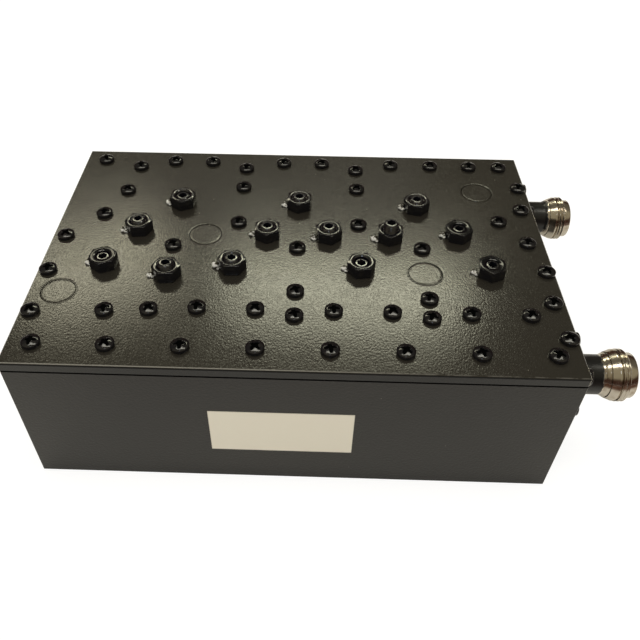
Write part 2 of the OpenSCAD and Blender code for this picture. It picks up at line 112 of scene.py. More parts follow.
# Shader arithmetic: a feed is an output socket, and sums on feeds add their Math nodes
class Feed:
    def __init__(self, tree, socket=None):
        self.tree, self.socket = tree, socket

    # Adds any node: its type, its settings, then the values or links of its sockets
    def node(self, kind, settings=None, sockets=None, output=0):
        made = self.tree.nodes.new("ShaderNode" + kind)
        for name, value in (settings or {}).items():
            setattr(made, name, value)
        for name, value in (sockets or {}).items():
            if isinstance(value, Feed):
                self.tree.links.new(value.socket, made.inputs[name])
            else:
                made.inputs[name].default_value = value
        return Feed(self.tree, made.outputs[output])

    def maths(self, operation, *values):
        return self.node("Math", {"operation": operation}, dict(enumerate(values)))

    def __add__(self, other):
        return self.maths("ADD", self, other)

    __radd__ = __add__

    def __sub__(self, other):
        return self.maths("SUBTRACT", self, other)

    def __rsub__(self, other):
        return self.maths("SUBTRACT", other, self)

    def __mul__(self, other):
        return self.maths("MULTIPLY", self, other)

    __rmul__ = __mul__

    def __pow__(self, other):
        return self.maths("POWER", self, other)

    def size(self):
        return self.maths("ABSOLUTE", self)

    # Rises smoothly from 0 at low to 1 at high, or falls where low is above high
    def step(self, low, high):
        return self.node("MapRange", {"interpolation_type": "SMOOTHSTEP"},
                         {"Value": self, "From Min": min(low, high), "From Max": max(low, high),
                          "To Min": float(low > high), "To Max": float(low < high)})

    def most(self, other):
        return self.maths("MAXIMUM", self, other)

    def least(self, other):
        return self.maths("MINIMUM", self, other)

    # Blends two colours, by this feed
    def colours(self, first, second):
        pair = [c if isinstance(c, Feed) else (*c, 1.0) for c in (first, second)]
        return self.node("Mix", {"data_type": "RGBA"}, {0: self, 6: pair[0], 7: pair[1]}, 2)


# A finish holds one material's tree: its coordinates, patterns and surface
class Finish(Feed):
    def __init__(self, name):
        self.material = bpy.data.materials.new(name)
        self.material.use_nodes = True
        super().__init__(self.material.node_tree)
        self.tree.nodes.clear()
        self.place = self.node("TexCoord", output="Object")
        self.x, self.y, self.z = (self.node("SeparateXYZ", {}, {0: self.place}, i) for i in range(3))

    # Noise with lumps of about the given size in millimetres, between 0 and 1
    def noise(self, lump, detail=2.0, rough=0.5, stretch=None, shift=0.0):
        where = self.place
        if stretch or shift:
            where = self.node("Mapping", {}, {"Vector": where, "Scale": stretch or (1, 1, 1),
                                              "Location": (shift, shift * 0.7, -shift)})
        return self.node("TexNoise", {}, {"Vector": where, "Scale": 1 / (lump * mm), "Detail": detail,
                                          "Roughness": rough})

    # Distance from the nearest of scattered points, in cells
    def spots(self, cell):
        return self.node("TexVoronoi", {"feature": "F1"}, {"Vector": self.place, "Scale": 1 / (cell * mm)})

    # Distance from an upright line through a point given in millimetres
    def awayFrom(self, spot):
        return ((self.x - spot[0] * mm) ** 2.0 + (self.y - spot[1] * mm) ** 2.0) ** 0.5

    # Bump of the given height in millimetres
    def relief(self, height, depth, below=None):
        sockets = {"Height": height, "Strength": 1.0, "Distance": depth * mm}
        if below:
            sockets["Normal"] = below
        return self.node("Bump", {}, sockets)

    # The Principled surface, blended by shade toward a near black diffuse: painted shade where no light
    # should come back
    def surface(self, **sockets):
        names = {"colour": "Base Color", "roughness": "Roughness", "metallic": "Metallic", "normal": "Normal",
                 "specular": "Specular IOR Level", "ior": "IOR", "clear": "Transmission Weight"}
        values = {}
        shade = sockets.pop("shade", None)
        for key, value in sockets.items():
            values[names[key]] = (*value, 1.0) if isinstance(value, tuple) else value
        shader = self.node("BsdfPrincipled", {}, values)
        if shade:
            dark = self.node("BsdfDiffuse", {}, {"Color": (0.002, 0.002, 0.002, 1.0)})
            shader = self.node("MixShader", {}, {0: shade, 1: shader, 2: dark})
        self.close(shader)
        return self.material

    def close(self, shader):
        out = self.tree.nodes.new("ShaderNodeOutputMaterial")
        self.tree.links.new(shader.socket, out.inputs["Surface"])


# Painted shade in the joint where cover and housing meet: how near a point is to the joint, from 0 to 1
def nearJoint(f):
    return (f.z - coverLow).size().step(0.42 * mm, 0.2 * mm)


# Black powder coat on the cover: an orange-peel grain, low waves, dust, a dent in painted shade, a front edge
# that is worn most at the left and lightened as a painted highlight, a bare right front corner, painted shade
# on the sides and below the top edge, and a painted shadow line and a groove round each plug
coverSet = dict(black=(0.0225, 0.0200, 0.0155), worn=(0.24, 0.23, 0.20), bare=(0.62, 0.60, 0.56),
                dust=(0.16, 0.145, 0.11), dustApart=4.2, ink=(0.003, 0.003, 0.0025),
                grain=0.52, grainDepth=0.031, fineGrain=0.40, fineDepth=0.010, stretch=(1, 0.65, 1),
                waves=5.0, waveDepth=0.008, patches=24, dull=0.205, shiny=0.135, mottle=0.30,
                side=(0.0085, 0.0083, 0.0080), edge=0.25, wornFades=(140, 60),
                dent=(-8.9, 4.6), dentSize=0.75, dentDepth=0.1, groove=0.03)


def coverFinish(name, s):
    f = Finish(name)
    grain = f.noise(s["grain"], 1.0, 0.5, stretch=s["stretch"])
    fineGrain = f.noise(s["fineGrain"], 1.0, 0.6, stretch=s["stretch"], shift=0.05)
    waves = f.noise(s["waves"], 0.0)
    patches = f.noise(s["patches"], 3.0)
    specks = f.spots(s["dustApart"]).step(0.055, 0.02) * f.noise(9, 1.0, shift=0.3).step(0.5, 0.62)
    nearFront = (f.y - caseLow.y).step(s["edge"] * mm * 2, s["edge"] * mm)
    nearTop = (coverTop - f.z).step(s["edge"] * mm, 0.1 * mm)
    nearRight = (caseHigh.x - f.x).step(s["edge"] * mm * 1.5, 0.1 * mm)
    rubbed = f.noise(1.6, 3.0, 0.7, shift=0.11, stretch=(0.4, 1, 1))
    leftward = (f.x - caseLow.x).step(s["wornFades"][0] * mm, s["wornFades"][1] * mm)
    # the front top edge is worn, and its pale tone is also a painted highlight standing in for the shine of a
    # rounded edge
    worn = nearTop * nearFront * (rubbed + leftward * 0.25).step(0.44, 0.58) * (0.3 + leftward * 0.7)
    bare = nearFront * nearRight * rubbed.step(0.30, 0.42)
    onTop = (f.z - (coverTop - 0.3 * mm)).step(0.0, 0.05 * mm)
    dent = f.awayFrom(s["dent"]).step(s["dentSize"] * mm, 0.25 * mm) * onTop
    # painted shade: the dent, and a thin line round each plug's rim where the groove's shadow falls, are
    # darkened toward a near black
    paintedShade, raised = dent * 0.8, 0.0
    for centre, radius in plugs:
        far = f.awayFrom(centre) - radius * mm
        paintedShade = paintedShade.most(far.size().step(0.19 * mm, 0.05 * mm) * onTop * 0.7)
        raised = raised - far.step(-0.9 * mm, -0.1 * mm) * far.step(0.6 * mm, 0.1 * mm) * onTop * s["groove"]
    height = (grain * s["grainDepth"] + fineGrain * s["fineDepth"] + waves * s["waveDepth"] + raised
              - dent * s["dentDepth"])
    colour = specks.colours(s["black"], s["dust"])
    # painted shade: a dark band on the cover's sides just below the top edge
    under = (f.z - (coverTop - 0.55 * mm)).size().step(0.32 * mm, 0.18 * mm) * (1 - onTop)
    colour = paintedShade.colours(colour, s["ink"])
    # painted shade: the cover's sides take a darker tone than its top, though it is the same coat
    colour = onTop.colours(s["side"], colour)
    colour = bare.colours(worn.colours(colour, s["worn"]), s["bare"])
    rough = s["shiny"] + (s["dull"] - s["shiny"]) * patches + (fineGrain - 0.5) * s["mottle"] + specks * 0.3
    return f.surface(colour=colour, roughness=rough, metallic=bare * 0.9, normal=f.relief(height, 1.0),
                     specular=0.5, shade=nearJoint(f).most(under * 0.7))


# Smooth dark slate coat on the housing, with low clouds, fine flecks, a little dust, and painted shade in the
# joint under the cover
housingSet = dict(slate=(0.0160, 0.0160, 0.0148), pale=(0.0215, 0.0210, 0.0198), peel=0.8, peelDepth=0.09,
                  clouds=30, fleck=0.55, dust=(0.16, 0.15, 0.13), dustApart=5.0, dull=0.42, shiny=0.34)


def housingFinish(name, s):
    f = Finish(name)
    peel = f.noise(s["peel"], 2.0)
    clouds = f.noise(s["clouds"], 3.0)
    specks = f.spots(s["dustApart"]).step(0.045, 0.015) * f.noise(11, 1.0, shift=0.2).step(0.52, 0.64)
    flecks = f.noise(s["fleck"], 1.0, shift=0.6)
    colour = (clouds * 0.6 + flecks * 0.9 - 0.25).colours(s["slate"], s["pale"])
    colour = specks.colours(colour, s["dust"])
    rough = s["shiny"] + (s["dull"] - s["shiny"]) * clouds
    return f.surface(colour=colour, roughness=rough, normal=f.relief(peel, s["peelDepth"]), specular=0.5,
                     shade=nearJoint(f))


# Black oxide on the screws and glossier black on nuts and tuning screws, with thin brownish rubbing
screwFinishSet = dict(black=(0.0070, 0.0068, 0.0078), rubbed=(0.013, 0.012, 0.011), touch=1.7,
                      dull=0.17, shiny=0.10, grain=0.45, grainDepth=0.008, specular=0.55)
nutFinishSet = dict(screwFinishSet, black=(0.0040, 0.0040, 0.0062), dull=0.16, grainDepth=0.005,
                    specular=0.95)


def blackFinish(name, s):
    f = Finish(name)
    grain = f.noise(s["grain"], 2.0)
    touch = f.noise(s["touch"], 2.0, shift=0.17)
    colour = touch.step(0.5, 0.72).colours(s["black"], s["rubbed"])
    rough = s["shiny"] + (s["dull"] - s["shiny"]) * touch
    # painted shade: how deep in a recess each point lies, from 0 to 1, or a set amount on a broad nut face,
    # is stored with the points of heads and nuts and blends the surface toward black
    deep = f.node("Attribute", {"attribute_name": "deep"}, output=2)
    return f.surface(colour=colour, roughness=rough, normal=f.relief(grain, s["grainDepth"]),
                     specular=s["specular"], shade=deep.step(0.22, 0.5))


# Bright jack metal with turning marks, and black paint over its root
jackSet = dict(metal=(0.62, 0.57, 0.49), grime=(0.38, 0.31, 0.24), paint=(0.006, 0.006, 0.006),
               edge=9.9, backEdge=1.5, ragged=1.0, tear=1.3, smudge=2.6, paintRough=0.33,
               marks=0.16, marksDepth=0.003, lumps=0.5, lumpDepth=0.03, shiny=0.13, dull=0.23)


def jackFinish(name, s):
    f = Finish(name)
    marks = f.noise(s["marks"], 2.0, stretch=(1, 0.02, 0.02))
    smudge = f.noise(s["smudge"], 3.0, shift=0.4)
    along = f.x - jackSide
    torn = (f.noise(s["tear"], 3.0, 0.6) - 0.5) * (2 * s["ragged"] * mm)
    # on the back jack the paint reaches further along the upper side
    further = f.y.step(-5 * mm, 5 * mm) * (f.z - jackZ).step(-5 * mm, 2 * mm) * (s["backEdge"] * mm)
    paint = (along + torn - further).step((s["edge"] + 0.15) * mm, (s["edge"] - 0.15) * mm)
    colour = paint.colours(smudge.step(0.45, 0.8).colours(s["metal"], s["grime"]), s["paint"])
    rough = (s["shiny"] + (s["dull"] - s["shiny"]) * smudge) * (1 - paint) + paint * s["paintRough"]
    turning = f.relief(marks, s["marksDepth"])
    return f.surface(colour=colour, roughness=rough, metallic=1 - paint,
                     normal=f.relief(f.noise(s["lumps"], 2.0) * paint, s["lumpDepth"], turning))


# A finish of two close tones, for the pieces inside
def plainFinish(name, colour, second, lump, roughness, metallic=0.0, depth=0.004):
    f = Finish(name)
    pattern = f.noise(lump, 3.0)
    return f.surface(colour=pattern.step(0.3, 0.7).colours(colour, second),
                     roughness=roughness + (pattern - 0.5) * 0.12, metallic=metallic,
                     normal=f.relief(f.noise(lump * 0.3, 2.0), depth))


# Clear glue, its colour painted highlight and shade: light from behind gathers at the front of each drop, so
# its front foot is painted white and its top dark
glueFinishSet = dict(milk=(0.97, 0.955, 0.88), dark=(0.05, 0.045, 0.03), cloud=0.5, cloudDepth=0.03,
                     uneven=1.4)


def glueFinish(name, s):
    f = Finish(name)
    normal = f.node("NewGeometry", output=1)
    leftward, forward, downward = (f.node("SeparateXYZ", {}, {0: normal}, i) * -1 for i in range(3))
    cloud = f.noise(s["cloud"], 2.0)
    # painted highlight and shade: faces toward the front and below are painted white, the top dark
    lit = forward * 0.6 + leftward * 0.15 + downward * 0.35 + (cloud - 0.5) * s["uneven"] + 0.16
    return f.surface(colour=lit.step(0.12, 0.38).colours(s["dark"], s["milk"]), roughness=0.07, clear=0.12,
                     ior=1.46, normal=f.relief(cloud, s["cloudDepth"]))


# Blank label film: warm white, with a faint fibre and slightly darker cut edges
labelSet = dict(film=(0.84, 0.79, 0.665), edgeTone=(0.60, 0.55, 0.46), fibre=0.8, fibreDepth=0.006,
                rim=0.35)


def labelFinish(name, s):
    f = Finish(name)
    low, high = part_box("front_label")
    inset = ((f.x - low.x).least(high.x - f.x)).least((f.z - low.z).least(high.z - f.z))
    rim = inset.step(s["rim"] * mm, 0.0)
    fibre = f.noise(s["fibre"], 3.0, stretch=(0.5, 1, 1))
    tone = fibre * 0.06 + rim * 0.5
    return f.surface(colour=tone.colours(s["film"], s["edgeTone"]), roughness=0.42 + fibre * 0.1,
                     normal=f.relief(fibre, s["fibreDepth"]))


finishes = {
    "cover": coverFinish("coverCoat", coverSet),
    "housing": housingFinish("housingCoat", housingSet),
    "screw": blackFinish("blackScrew", screwFinishSet),
    "nut": blackFinish("blackNut", nutFinishSet),
    "jack": jackFinish("jackMetal", jackSet),
    "gold": plainFinish("contactGold", (0.83, 0.60, 0.26), (0.76, 0.52, 0.22), 0.8, 0.2, 1.0),
    "insulator": plainFinish("whiteInsulator", (0.82, 0.80, 0.75), (0.74, 0.72, 0.66), 1.5, 0.45),
    "silver": plainFinish("platedSilver", (0.80, 0.79, 0.75), (0.66, 0.64, 0.58), 3.0, 0.28, 1.0),
    "steel": plainFinish("plainSteel", (0.52, 0.52, 0.53), (0.42, 0.42, 0.42), 1.2, 0.34, 1.0),
    "label": labelFinish("labelFilm", labelSet),
    "glue": glueFinish("clearGlue", glueFinishSet),
}
print("finishes made:", len(finishes))


# A mesh from a grid of points: rows along, columns around. Columns join up, and rows close at a pole
# at each end, or onto each other where the grid is a ring
def gridMesh(points, ring=False, base=0):
    rows, around = points.shape[:2]
    r, c = np.meshgrid(np.arange(rows if ring else rows - 1), np.arange(around), indexing="ij")
    after, beside = (r + 1) % rows, (c + 1) % around
    quads = np.stack([r * around + c, r * around + beside, after * around + beside, after * around + c], -1)
    flat = points.reshape(-1, 3)
    faces = [quads.reshape(-1, 4) + base]
    if not ring:
        poles = np.array([points[0].mean(0), points[-1].mean(0)])
        flat = np.vstack([flat, poles])
        here, there = np.arange(around), (np.arange(around) + 1) % around
        first = np.stack([there, here, np.full(around, rows * around)], -1)
        last = np.stack([here + (rows - 1) * around, there + (rows - 1) * around,
                         np.full(around, rows * around + 1)], -1)
        faces += [first + base, last + base]
    return flat, faces


# One object from several grids, shaded smooth and kept crisp at edges over the given angle. The shade weight
# holds each point's painted shade: how deep in a recess it lies, or a set amount on a broad nut face
def makePiece(name, grids, finish, replaced, ring=False, crisp=35, deep=None):
    points, faces, base = [], [], 0
    for grid in grids:
        flat, made = gridMesh(grid, ring, base)
        points.append(flat)
        faces += [face.tolist() for face in made]
        base += len(flat)
    mesh = bpy.data.meshes.new(name)
    mesh.from_pydata(np.vstack(points).tolist(), [], [face for block in faces for face in block])
    if deep is not None:
        mesh.attributes.new("deep", "FLOAT", "POINT").data.foreach_set("value", np.concatenate(deep))
    mesh.validate()
    mesh.shade_smooth()
    mesh.set_sharp_from_angle(angle=math.radians(crisp))
    mesh.materials.append(finishes[finish])
    piece = bpy.data.objects.new(name, mesh)
    bpy.context.scene.collection.objects.link(piece)
    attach(piece, "root")
    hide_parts(*replaced)


# Rings round the Z axis from a radius and a height for each row and angle
def turned(radius, height, angle):
    radius, height, angle = np.broadcast_arrays(radius, height, angle)
    return np.stack([radius * np.cos(angle), radius * np.sin(angle), height], -1)


# Pan head screws. With r the distance from the axis and R the head's radius, the top falls by
# cone * (sqrt((r - flat)^2 + 1) + r - flat) / 2 + ease * (r / R)^14. The cross recess goes down by
# recess * (1 - 0.6 * r / armLength) * max(arm(x, y), arm(y, x)), and each arm narrows to its end
screwSet = dict(cone=0.46, flat=0.8, ease=0.17, recess=1.15, armLength=1.82, armWidth=0.64, taper=0.45,
                slope=0.12, shank=1.4, around=64)


# The smooth step t * t * (3 - 2 * t), with t running from 0 at low to 1 at high
def smooth(value, low, high):
    t = np.clip((value - low) / (high - low), 0, 1)
    return t * t * (3 - 2 * t)


def panHead(seat, top, headR, tip, spin, s):
    angle = np.linspace(0, turn, s["around"], endpoint=False)[None, :]
    height, shank = top - seat, s["shank"]
    inner = np.concatenate([np.linspace(0.08, 0.80, 13), [0.88, 0.94, 0.98]])[:, None] * headR
    x, y = inner * np.cos(angle - spin), inner * np.sin(angle - spin)
    long, soft = s["armLength"], s["slope"]

    def arm(a, b):
        narrow = s["armWidth"] * (1 - s["taper"] * np.minimum(np.abs(a) / long, 1))
        return (smooth(np.abs(b), narrow + soft, narrow - soft)
                * smooth(np.abs(a), long + soft, long - soft * 2))

    def sloping(r):
        return s["cone"] * (np.sqrt((r - s["flat"]) ** 2 + 1) + r - s["flat"]) / 2

    cross = np.maximum(arm(x, y), arm(y, x)) * s["recess"] * (1 - 0.6 * np.minimum(inner / long, 1))
    fall = sloping(headR) + s["ease"]
    domed = seat + height - sloping(inner) - s["ease"] * (inner / headR) ** 14
    topRows = turned(inner, domed - cross, angle)
    sideRadius = np.array([1.0, 1.0, 0.97])[:, None] * headR
    sideHeight = np.array([seat + height - fall - 0.03, seat + 0.2, seat])[:, None]
    under = turned(np.array([shank, shank, shank * 0.8])[:, None],
                   np.array([seat, tip + 0.3, tip])[:, None], angle)
    grid = np.vstack([topRows, turned(sideRadius, sideHeight, angle), under])
    # painted shade: the recess is darkened toward black by how deep it is
    deep = np.zeros(grid.shape[:2])
    deep[:len(inner)] = cross / s["recess"]
    # the poles that close the grid come last
    return grid[::-1], np.append(deep[::-1].ravel(), [0, 1])


def makeCoverScrews(s):
    grids, shadeWeights = [], []
    for i, solid in enumerate(solidsOf("cover_screws")):
        centre, half = middle(solid)
        spin = (i * goldenAngle) % (turn / 4)
        grid, deep = panHead(coverTop / mm, centre[2] + half[2], half[0], centre[2] - half[2], spin, s)
        grids.append((grid + [centre[0], centre[1], 0]) * mm)
        shadeWeights.append(deep)
    makePiece("coverScrews", grids, "screw", ["cover_screws"], deep=shadeWeights)


makeCoverScrews(screwSet)
print("cover screws made")


# Lock nuts. The outside is the hexagon apothem / cos(30 degrees - angle to the nearest corner), with its
# corners eased. Past a round face the top falls by slope * (distance - face), and so it does at the bottom.
# The bore opens by sink, in height and in radius
nutSet = dict(ease=0.99, face=0.935, slope=0.22, sink=0.42, lip=0.30, rim=0.12, dulled=0.38, around=120)
# the nuts on three screws lie with their broad flat face up, and the thread's first turn shows as a lip
broadSet = dict(nutSet, face=0.985, sink=0.10)
broadNuts = ["tuning_screw_1", "tuning_screw_6", "coupling_screw_6"]
# screws that the photo shows turned a little further in than their CAD solids, in millimetres
turnedIn = {"tuning_screw_5": 1.4, "coupling_screw_6": 0.8}


def nutGrid(apothem, height, bore, spin, s, lip=0.0):
    angle = np.linspace(0, turn, s["around"], endpoint=False)[None, :]
    nearest = np.abs((angle - spin + turn / 12) % (turn / 6) - turn / 12)
    corner = apothem / math.cos(turn / 12)
    side = np.minimum(apothem / np.cos(turn / 12 - nearest), corner * s["ease"])
    face = apothem * s["face"]
    drop = (side - face) * s["slope"]
    rim, sink, flat = s["rim"], s["sink"], 0 * angle
    mouth = bore - (s["lip"] if lip else 0)
    rows = [(bore, sink + flat), (bore, height / 2 + flat), (bore, height - max(lip, sink) - 0.02 + flat),
            (mouth, height - max(lip, sink) + flat), (mouth, height - sink + flat),
            (mouth + sink, height - 0.05 + flat), (mouth + sink + 0.08, height + flat),
            (face - 0.12, height + flat), (face - 0.03, height - 0.02 + flat),
            (face + 0.06, height - 0.06 + flat)]
    for step in (0.0, 0.3, 0.6, 0.85, 1.0):
        rows.append((side - rim * (1 - math.sin(step * turn / 4)),
                     height - drop - rim * (1 - math.cos(step * turn / 4)) - 0.02))
    for step in (1.0, 0.6, 0.2):
        rows.append((side - rim * (1 - math.sin(step * turn / 4)),
                     drop + rim * (1 - math.cos(step * turn / 4))))
    rows += [(side - rim * 1.3, flat), (bore + sink, flat)]
    return np.vstack([turned(radius, z, angle) for radius, z in rows])


# A nut's middle, the distance of its corners from there, and the way to one corner
def nutFacts(solid):
    low, high = solid.min(0), solid.max(0)
    centre = (low + high) / 2
    flat = (solid - centre)[:, :2]
    far = flat[np.argmax(np.hypot(flat[:, 0], flat[:, 1]))]
    corner = np.hypot(*far)
    return centre / mm, corner / mm, math.atan2(far[1], far[0])


nuts = [nutFacts(solid) for solid in solidsOf("lock_nuts")]
tunerR = (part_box("tuning_screw_1")[1].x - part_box("tuning_screw_1")[0].x) / 2 / mm


# Whether a nut's middle lies on a node's axis
def isOver(centre, node):
    low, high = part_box(node)
    return math.hypot((low.x + high.x) / 2 / mm - centre[0], (low.y + high.y) / 2 / mm - centre[1]) < 1


# How far the nut's top stands above the screw in it, less a hair of clearance
def lipDepth(node, nutTop):
    return max(nutTop - (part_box(node)[1].z / mm - turnedIn.get(node, 0)) - 0.05, 0.0)


def makeLockNuts(s):
    grids, shadeWeights = [], []
    for centre, corner, spin in nuts:
        height = 2 * (centre[2] - coverTop / mm)
        broad = [node for node in broadNuts if isOver(centre, node)]
        lip = max([lipDepth(node, coverTop / mm + height) for node in broad], default=0.0)
        grid = nutGrid(corner * math.cos(turn / 12), height, tunerR + 0.05, spin, broadSet if broad else s,
                       lip)
        grids.append((grid + [centre[0], centre[1], coverTop / mm])[::-1] * mm)
        # painted shade: a broad face is blended part way toward black, which dims its reflection: rows 5 to 8
        # are the face
        deep = np.zeros(grid.shape[:2])
        deep[5:9] = s["dulled"] if broad else 0
        shadeWeights.append(deep[::-1].ravel())
    makePiece("lockNuts", grids, "nut", ["lock_nuts"], ring=True, crisp=40, deep=shadeWeights)


makeLockNuts(nutSet)
print("lock nuts made:", len(nuts))


# Tuning and coupling screws. The outside follows a helix: radius = major - depth * flank(height / pitch -
# angle / turn), and the socket's wall is the hexagon apothem / cos(angle to the nearest flat)
tunerSet = dict(pitch=0.6, depth=0.26, rings=6, around=48, chamfer=0.66, ring=1.72, socket=1.25,
                socketDeep=2.6)


# The thread's flank: 0 at a crest, rising straight to 1 at a root and back over each turn
def flank(phase):
    saw = np.abs((phase % 1.0) - 0.5) * 2
    return np.clip(saw * 1.25 - 0.125, 0, 1)


def tunerGrid(low, high, radius, s):
    angle = np.linspace(0, turn, s["around"], endpoint=False)[None, :]
    body = np.linspace(low + 0.02, high - 0.02, int((high - low) / s["pitch"] * s["rings"]))[:, None]
    fade = np.minimum(np.minimum(body - low, (high - body) * 1.3), s["chamfer"])
    outside = radius - s["depth"] * flank(body / s["pitch"] - angle / turn)
    outside = np.minimum(outside, radius - s["chamfer"] + fade)
    nearest = (angle + turn / 12) % (turn / 6) - turn / 12
    wall = s["socket"] / np.cos(nearest)
    inside = [(wall * 0 + s["ring"], high), (wall + 0.06, high), (wall, high - 0.10),
              (wall, high - s["socketDeep"]), (wall * 0.5, high - s["socketDeep"] - 0.3)]
    start = turned(radius - s["chamfer"] - 0.1, low + 0 * angle, angle)
    return np.vstack([start, turned(outside, body, angle)]
                     + [turned(r, z + 0 * angle, angle) for r, z in inside])


def makeTuners(s):
    for node in sorted(n for n in nodes if n.startswith(("tuning_screw", "coupling_screw"))):
        low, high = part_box(node)
        kind, _, number = node.rpartition("_")
        centre = (low + high) / 2 / mm
        top = high.z / mm - turnedIn.get(node, 0)
        grid = tunerGrid(low.z / mm, top, tunerR, s) + [centre[0], centre[1], 0]
        name = ("tuningScrew" if "tuning" in kind else "couplingScrew") + number
        makePiece(name, [grid * mm], "nut", [node], crisp=50)


makeTuners(tunerSet)
print("tuning screws made")


# Clear glue at the left foot of each nut: a main drop and two smaller ones, each a lump
# radius * (1 + waves over the two angles), squashed down and cut flat by the cover
glueSet = dict(main=1.08, small=(0.4, 0.7), way=182, spread=9, out=0.95, around=20, rows=12, seed=11)


def lump(centre, radius, wobble, s):
    v = np.linspace(0.06, math.pi - 0.06, s["rows"])[:, None]
    u = np.linspace(0, turn, s["around"], endpoint=False)[None, :]
    r = radius * (1 + 0.20 * np.sin(3 * u + wobble) * np.sin(2 * v)
                  + 0.13 * np.cos(2 * u - 2 * wobble) * np.sin(v))
    x = r * np.sin(v) * np.cos(u)
    y = r * np.sin(v) * np.sin(u)
    z = np.maximum(-r * np.cos(v) * 0.85 + centre[2], coverTop / mm + 0.01)
    return np.stack([x + centre[0], y + centre[1], z], -1)


def makeGlue(s):
    chance = np.random.default_rng(s["seed"])
    grids = []
    for centre, corner, spin in nuts:
        main = math.radians(s["way"] + chance.uniform(-s["spread"], s["spread"]))
        drops = [(main, corner * 0.93 + s["out"], s["main"] * chance.uniform(0.85, 1.1)),
                 (main + chance.uniform(0.12, 0.25), corner * 0.93 + 0.3, chance.uniform(*s["small"])),
                 (main - chance.uniform(0.1, 0.3), corner * 0.93 + chance.uniform(0.1, 1.0),
                  chance.uniform(*s["small"]))]
        for way, out, radius in drops:
            spot = [centre[0] + out * math.cos(way), centre[1] + out * math.sin(way),
                    coverTop / mm + radius * chance.uniform(0.35, 0.7)]
            grids.append(lump(spot, radius, chance.uniform(0, turn), s) * mm)
    makePiece("glueDabs", grids, "glue", ["glue_dabs"], crisp=80)


makeGlue(glueSet)
print("glue made")


# Jack bodies: a profile of radius against length carried once round the axis. The flange's stretch takes
# the radius of a square with round corners, and the thread's takes major - depth * flank of a helix
jackShape = dict(neck=6.05, bore=3.45, mouth=4.04, mouthDeep=9.1, major=7.94, threadDepth=0.30, pitch=1.06,
                 flangeThick=2.7, tipR=6.85, tipLong=2.5, threadLong=2.25, around=160,
                 collar=[(-4.4, 6.05), (-4.3, 6.12), (-3.35, 6.62), (-3.2, 6.66), (-3.1, 6.60),
                         (-2.95, 6.62), (-2.8, 6.95), (-2.6, 7.05), (-1.0, 7.70), (-0.85, 7.78),
                         (-0.45, 7.78), (-0.38, 7.70), (-0.34, 7.35), (-0.15, 7.35)])


# Distance to a rounded square's edge: half / (|cos|^n + |sin|^n)^(1/n)
def squareRadius(angle, half, power=18.0):
    c, s = np.abs(np.cos(angle)), np.abs(np.sin(angle))
    return half / (c ** power + s ** power) ** (1 / power)


def jackGrid(length, half, s):
    angle = np.linspace(0, turn, s["around"], endpoint=False)[None, :]
    flat = 0 * angle
    square = squareRadius(angle, half)
    end = length - s["tipLong"]
    start = end - s["threadLong"]
    thick, neck = s["flangeThick"], s["neck"]
    rows = [(s["bore"], 0), (neck, 0), (square - 0.1, 0), (square, 0.1), (square, thick - 0.2),
            (square - 0.2, thick), (neck + 0.4, thick), (neck + 0.1, thick + 0.1), (neck, thick + 0.4),
            (neck, start - 4.6)]
    rows += [(r, start + z) for z, r in s["collar"]]
    profile = [turned(r + flat, z + flat, angle) for r, z in rows]
    body = np.linspace(start, end, int(s["threadLong"] / s["pitch"] * 16))[:, None]
    edge = np.minimum(body - start, end - body)
    thread = s["major"] - s["threadDepth"] * flank(body / s["pitch"] - angle / turn)
    thread = np.minimum(thread, s["major"] - s["threadDepth"] + np.maximum(edge, 0) * 2.2)
    rows = [(s["tipR"], end + 0.05), (s["tipR"], length - 0.3), (s["tipR"] - 0.12, length - 0.1),
            (s["tipR"] - 0.32, length), (s["mouth"] + 0.35, length), (s["mouth"] + 0.1, length - 0.08),
            (s["mouth"], length - 0.3), (s["mouth"], length - s["mouthDeep"]),
            (s["bore"], length - s["mouthDeep"])]
    inner = [turned(r + flat, z + flat, angle) for r, z in rows]
    return np.vstack(profile + [turned(thread, body, angle)] + inner)


def makeJack(side, s):
    node = side + "_jack_body"
    low, high = (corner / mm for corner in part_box(node))
    grid = jackGrid(high.x - low.x, (high.y - low.y) / 2, s)
    # turn the axis from Z onto X
    placed = np.stack([grid[..., 2] + low.x, grid[..., 0] + (low.y + high.y) / 2,
                       grid[..., 1] + (low.z + high.z) / 2], -1)
    makePiece(side + "JackBody", [placed[::-1] * mm], "jack", [node], ring=True, crisp=38)


for side in ("front", "back"):
    makeJack(side, jackShape)


# The flange's pan head screws, their axes turned from Z onto X
def makeJackScrews(side, s):
    node = side + "_jack_screws"
    seat = jackSide / mm + jackShape["flangeThick"]
    grids, shadeWeights = [], []
    for i, solid in enumerate(solidsOf(node)):
        centre, half = middle(solid)
        grid, deep = panHead(seat, centre[0] + half[0], half[1], centre[0] - half[0], i * 1.1, s)
        grids.append(np.stack([grid[..., 2], grid[..., 0] + centre[1], grid[..., 1] + centre[2]], -1) * mm)
        shadeWeights.append(deep)
    makePiece(side + "JackScrews", grids, "screw", [node], deep=shadeWeights)


for side in ("front", "back"):
    makeJackScrews(side, screwSet)
print("jacks made")


# CAD nodes that keep their own shape get their finish here
kept = {
    "cover": "cover", "cover_plugs": "cover", "housing": "housing", "front_label": "label",
    "resonator_screws": "steel", "input_line": "silver", "input_tap": "silver", "output_tap": "silver",
    "line_sleeve": "insulator",
}
for side in ("front", "back"):
    kept[side + "_jack_insulator"] = "insulator"
    kept[side + "_jack_contact"] = "gold"
for node in nodes:
    if node.startswith("resonator_") and node != "resonator_screws":
        kept[node] = "silver"
for node, finish in kept.items():
    nodes[node].data.materials.clear()
    nodes[node].data.materials.append(finishes[finish])
print("kept nodes finished:", len(kept))


